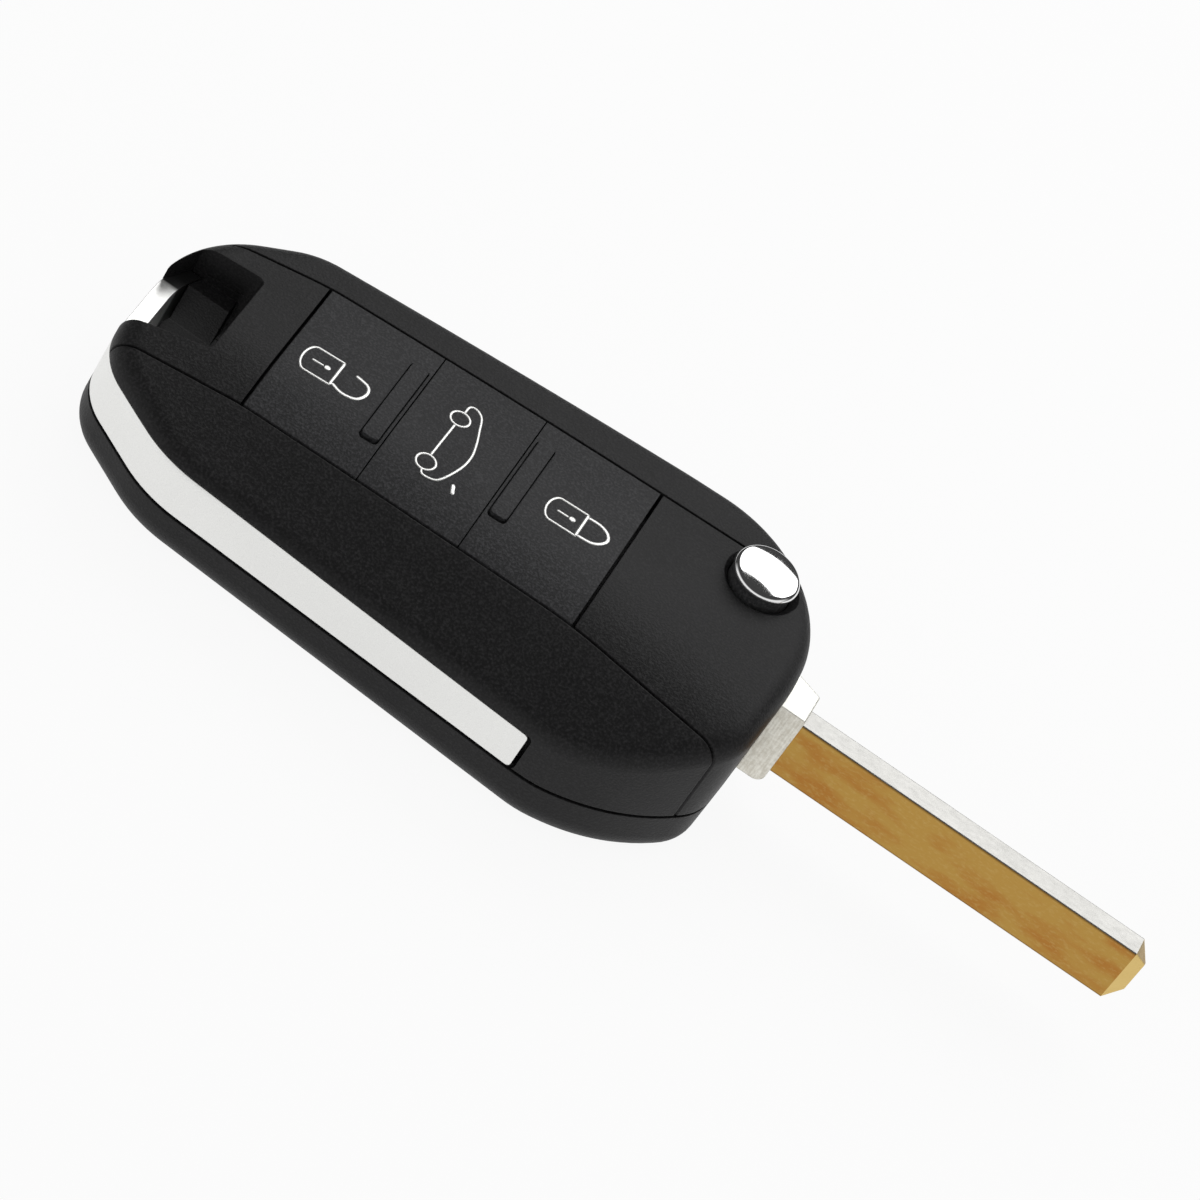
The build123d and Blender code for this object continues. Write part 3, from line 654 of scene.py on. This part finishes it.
car = {
    "wheels": [(-27.54, -1.80), (-27.30, 6.34)],
    "wheelRadius": 1.06,
    "sill": [(-27.4, 5.2), (-27.55, -0.65)],
    "body": [
        (-27.3, 7.5), (-27.2, 8.6), (-26.5, 8.85), (-25.6, 8.1), (-25.0, 6.2), (-24.5, 4.4), (-24.15, 2.4),
        (-24.25, 0.4), (-24.8, -1.6), (-25.5, -3.05), (-26.4, -3.45), (-27.2, -3.4), (-27.5, -2.9),
    ],
    "lid": [(-24.0, -2.46), (-23.5, -3.75)],
}


# a car from its side: two wheels, the sill between them, the body's outline and the open lid
def carStrokes():
    return [
        *[(circlePath(wheel, car["wheelRadius"]), True, marks["line"]) for wheel in car["wheels"]],
        (lineThrough(car["sill"]), False, marks["line"]),
        (curveThrough(car["body"]), False, marks["line"]),
        (lineThrough(car["lid"]), False, marks["thick"]),
    ]


printedMark("unlockMark", "unlock_button", "unlock_key", padlockStrokes(openPadlock))
printedMark("bootMark", "boot_button", "boot_key", carStrokes())
printedMark("lockMark", "lock_button", "lock_key", padlockStrokes(closedPadlock))
print("key marks made")


cap = {
    "crown": 0.043,
    "domeReach": 3.19,
    "poleRadius": 0.05,
    "underRings": 6,
    "edgeRings": 20,
    "domeRings": 24,
    "columns": 128,
}


# the release button's cap, turned about its axis: flat below, a round edge, and a dome that falls by crown
# times the square of the radius; the edge's arc starts upright and ends at the dome's own slope
def capSurface():
    low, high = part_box("release_button")
    centreX, centreY = (low.x + high.x) / 2 * perMm, (low.y + high.y) / 2 * perMm
    foot, top = low.z * perMm, high.z * perMm
    reach = (high.x - low.x) / 2 * perMm
    crown, domeReach = cap["crown"], cap["domeReach"]
    slope = math.atan(2 * crown * domeReach)
    edgeRadius = (reach - domeReach) / (1 - math.sin(slope))
    under = np.linspace(cap["poleRadius"], reach, cap["underRings"])
    turn = np.linspace(np.pi / 2, slope, cap["edgeRings"])[:-1]
    edge = reach - edgeRadius * (1 - np.sin(turn))
    edgeHeight = top - crown * domeReach ** 2 - edgeRadius * (math.cos(slope) - np.cos(turn))
    dome = np.linspace(domeReach, cap["poleRadius"], cap["domeRings"])
    domeHeight = top - crown * dome ** 2
    radius = np.concatenate([under, edge, dome])[:, None]
    height = np.concatenate([0 * under + foot, np.maximum(edgeHeight, foot), domeHeight])[:, None]
    angle = np.linspace(0, 2 * np.pi, cap["columns"], endpoint=False)[None, :]
    x = centreX + radius * np.cos(angle)
    y = centreY + radius * np.sin(angle)
    return closedGrid(np.stack([x, y, height + 0 * angle], axis=2))


def makeCap():
    piece = meshPiece("domedCap", *capSurface(), finishes["bright_chrome"])
    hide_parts("release_button")
    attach(piece, "release")


makeCap()
print("cap made")


screw = {
    "headRadius": 1.6,
    "headHeight": 0.8,
    "headEdge": 0.15,
    "shankRadius": 0.8,
    "length": 5.4,
    "crossReach": 0.95,
    "crossWidth": 0.32,
    "crossSlope": 0.12,
    "crossDepth": 0.5,
    "threadPitch": 0.6,
    "threadDepth": 0.14,
    "poleRadius": 0.04,
    "faceRings": 30,
    "edgeRings": 5,
    "shankRings": 60,
    "columns": 96,
}


# one screw: rings of the head's face, sunk by a cross whose sides slope, then its side and a shank
# whose radius follows a triangle wave of height over pitch less the turn
def screwSurface(centre):
    rim, top, slope = screw["headRadius"], screw["headHeight"], screw["crossSlope"]
    angle = np.linspace(0, 2 * np.pi, screw["columns"], endpoint=False)[None, :]
    level = 0 * angle
    faceRadius = np.linspace(screw["poleRadius"], rim - screw["headEdge"], screw["faceRings"])[:, None]
    x = faceRadius * np.cos(angle)
    y = faceRadius * np.sin(angle)

    # one bar of the cross: 1 on its floor, falling to 0 over the slope at its sides and ends
    def bar(along, across):
        side = np.clip((screw["crossWidth"] / 2 + slope - abs(across)) / slope, 0, 1)
        tip = np.clip((screw["crossReach"] - abs(along)) / slope, 0, 1)
        return np.minimum(side, tip)

    sunk = screw["crossDepth"] * np.maximum(bar(x, y), bar(y, x))
    turn = np.linspace(0, np.pi / 2, screw["edgeRings"])[:, None]
    edgeRadius = rim - screw["headEdge"] * (1 - np.sin(turn))
    edgeHeight = screw["headEdge"] * (1 - np.cos(turn))
    shankHeight = np.linspace(top, screw["length"], screw["shankRings"])[:, None]
    wave = (shankHeight - top) / screw["threadPitch"] - angle / (2 * np.pi)
    groove = abs(2 * (wave - np.floor(wave)) - 1)
    shank = screw["shankRadius"] - screw["threadDepth"] * groove
    radius = np.vstack([faceRadius + level, edgeRadius + level, rim + level, shank])
    height = np.vstack([sunk, edgeHeight + level, top + level, shankHeight + level])
    across = [centre[0] + radius * np.cos(angle), centre[1] + radius * np.sin(angle)]
    return closedGrid(np.stack([*across, height], axis=2))


# both case screws, in the places of the plain ones that they replace
def makeScrews():
    low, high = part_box("case_screws")
    reach = screw["headRadius"]
    left, right = low.x * perMm + reach, high.x * perMm - reach
    front, rear = low.y * perMm + reach, high.y * perMm - reach
    corners, faces = joined([screwSurface(place) for place in [(left, rear), (right, front)]])
    piece = meshPiece("crossScrews", corners, faces, finishes["spring_steel"])
    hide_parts("case_screws")
    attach(piece, "case")


makeScrews()
print("screws made")


# the floor's half width and its paper's grain are in millimetres, its sweep and the lamp in metres
studio = {
    "floorHalf": 1500.0,
    "floorColour": (0.72, 0.72, 0.72),
    "paperGrain": 0.8,
    "paperRoughness": 0.2,
    "shadowShare": 0.08,
    "sweepRange": (0.12, 0.40),
    "skyStrength": 0.60,
    "darkMirror": 0.05,
    "bandMirror": 0.90,
    "bandRange": (0.35, 0.60),
    "frontRange": (-0.15, 0.35),
    "lampPower": 2.35,
    "lampWidth": 0.80,
    "lampHeight": 0.48,
    "lampPlace": (0.09, 0.46, 0.46),
}
rayKinds = ("Is Camera Ray", "Is Glossy Ray", "Is Transmission Ray")
white = (1.0, 1.0, 1.0)


# the floor is plain white to the camera, and to reflections near the object, apart from a small share
# that takes the light and shadow; reflections find it darker far away
def makeFloor():
    look = Finish("floorPaper")
    grain = look.noise(studio["paperGrain"])
    sockets = {"Color": opaque(studio["floorColour"]), "Roughness": grain * studio["paperRoughness"]}
    paper = look.node("ShaderNodeBsdfDiffuse", inputs=sockets)
    camera, glossy, through = (look.node("ShaderNodeLightPath", output=kind) for kind in rayKinds)
    away = look.node("ShaderNodeVectorMath", {"operation": "LENGTH"}, {0: look.place}, "Value")
    far = away.rise(*studio["sweepRange"]) * (1 - camera)
    tone = look.blend(far, white, shaded(white, studio["darkMirror"]))
    glow = look.node("ShaderNodeEmission", inputs={"Color": tone, "Strength": 1.0})
    seen = camera.most(glossy).most(through) * (1 - studio["shadowShare"])
    look.out(look.node("ShaderNodeMixShader", inputs={0: seen, 1: paper, 2: glow}))
    half = studio["floorHalf"]
    corners = np.array([(-half, -half, 0), (half, -half, 0), (half, half, 0), (-half, half, 0)])
    floor = meshPiece("floor", corners, [np.array([(0, 1, 2, 3)])], look.material)


# plain light from all round, seen as white by the camera; reflections find it dark, but for a bright band
# low down at the front and the sides
def makeSky():
    world = bpy.data.worlds.new("studioSky")
    world.use_nodes = True
    tree = world.node_tree
    tree.nodes.clear()
    path = tree.nodes.new("ShaderNodeLightPath")
    camera, glossy, through = (Wire(tree, path.outputs[kind]) for kind in rayKinds)
    direction = tree.nodes.new("ShaderNodeSeparateXYZ")
    tree.links.new(tree.nodes.new("ShaderNodeTexCoord").outputs["Generated"], direction.inputs[0])
    low = 1 - Wire(tree, direction.outputs["Z"]).rise(*studio["bandRange"])
    front = 1 - Wire(tree, direction.outputs["Y"]).rise(*studio["frontRange"])
    mirrored = low * front * (studio["bandMirror"] - studio["darkMirror"]) + studio["darkMirror"]
    around = glossy.most(through) * (mirrored - studio["skyStrength"]) + studio["skyStrength"]
    background = tree.nodes.new("ShaderNodeBackground")
    background.inputs["Color"].default_value = opaque(white)
    connect(tree, camera * (1 - around) + around, background.inputs["Strength"])
    output = tree.nodes.new("ShaderNodeOutputWorld")
    tree.links.new(background.outputs[0], output.inputs[0])
    bpy.context.scene.world = world


# a large soft lamp behind and above the object, facing it
def makeLamp():
    lamp = bpy.data.lights.new("softLamp", "AREA")
    lamp.energy = studio["lampPower"]
    lamp.shape = "RECTANGLE"
    lamp.size = studio["lampWidth"]
    lamp.size_y = studio["lampHeight"]
    holder = bpy.data.objects.new("softLamp", lamp)
    place = Vector(studio["lampPlace"])
    holder.matrix_world = Matrix.Translation(place) @ place.to_track_quat("Z", "Y").to_matrix().to_4x4()
    bpy.context.scene.collection.objects.link(holder)


view = {
    "azimuth": -0.4497,
    "elevation": 43.0,
    "roll": 55.3308,
    "distance": 550.0,
    "aim": (-5.563, 1.552, 12.301),
    "lens": 165.0,
    "sensor": 36.0,
    "nearest": 0.01,
}


# right, up and backward directions of the camera from its azimuth, elevation and roll
def makeCamera():
    azimuth = math.radians(view["azimuth"])
    elevation = math.radians(view["elevation"])
    turn = math.radians(90 - view["roll"])
    level = Vector((math.cos(azimuth), math.sin(azimuth), 0))
    away = Vector((math.sin(azimuth), -math.cos(azimuth), 0))
    back = math.cos(elevation) * away + math.sin(elevation) * Vector((0, 0, 1))
    rise = back.cross(level)
    right = math.cos(turn) * level + math.sin(turn) * rise
    up = math.cos(turn) * rise - math.sin(turn) * level
    matrix = Matrix((right, up, back)).transposed().to_4x4()
    matrix.translation = (Vector(view["aim"]) + back * view["distance"]) * mm
    data = bpy.data.cameras.new("camera")
    data.lens = view["lens"]
    data.sensor_width = view["sensor"]
    data.clip_start = view["nearest"]
    camera = bpy.data.objects.new("camera", data)
    camera.matrix_world = matrix
    bpy.context.scene.collection.objects.link(camera)
    bpy.context.scene.camera = camera


makeFloor()
makeSky()
makeLamp()
makeCamera()
bpy.context.scene.view_settings.view_transform = "Standard"
print("studio made")
